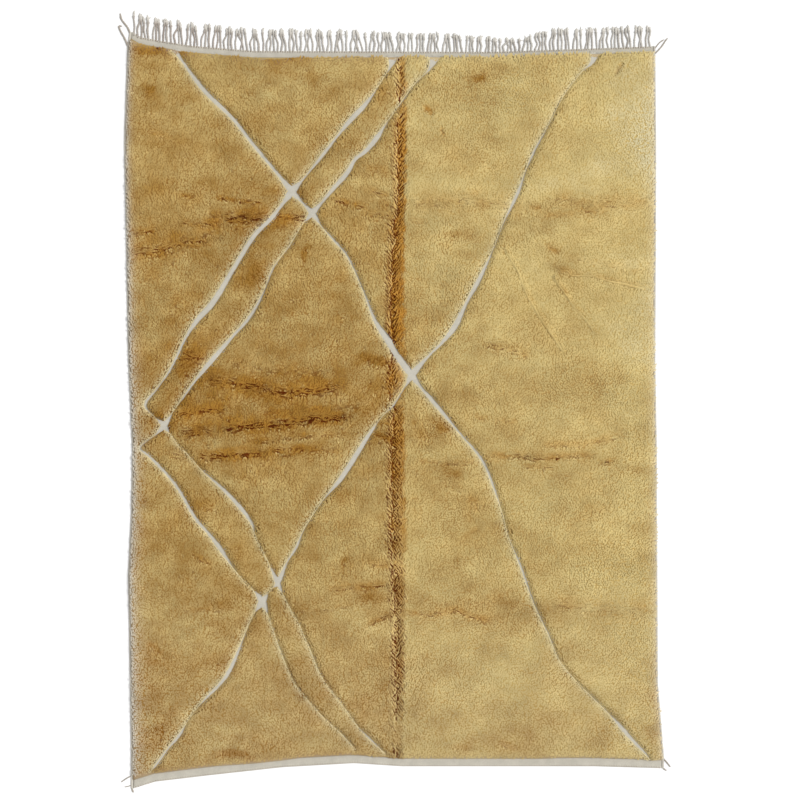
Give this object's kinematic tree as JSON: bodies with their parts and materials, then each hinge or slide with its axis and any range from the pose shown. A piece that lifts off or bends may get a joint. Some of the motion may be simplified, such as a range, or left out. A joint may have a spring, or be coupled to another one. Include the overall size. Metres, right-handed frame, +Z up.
{
  "type": "beni mrirt rug",
  "caption": "Thick hand-knotted wool pile rug with sunken ivory lozenge lines, woven end bands and a knotted fringe at one end, lying flat.",
  "frame": {"origin": "on the floor under the middle of the cloth", "axes": "+X across the rug to the right, +Y along it towards the fringed end, +Z up out of the pile"},
  "size_m": [2.3037, 3.2668, 0.0274],
  "materials": {
    "gold_pile": "dense cut wool pile, golden mustard, deeper amber at the roots and folds",
    "woven_warp": "plain woven grey-ivory wool with twisted warp fringe and short ivory pile",
    "side_cord": "grey-ivory wool overcast over the side warps"
  },
  "bodies": {
    "root": {"pile_field": "gold_pile", "top_end_band": "woven_warp", "bottom_end_band": "woven_warp", "selvedge_left": "side_cord", "selvedge_right": "side_cord"}
  },
  "joints": []
}
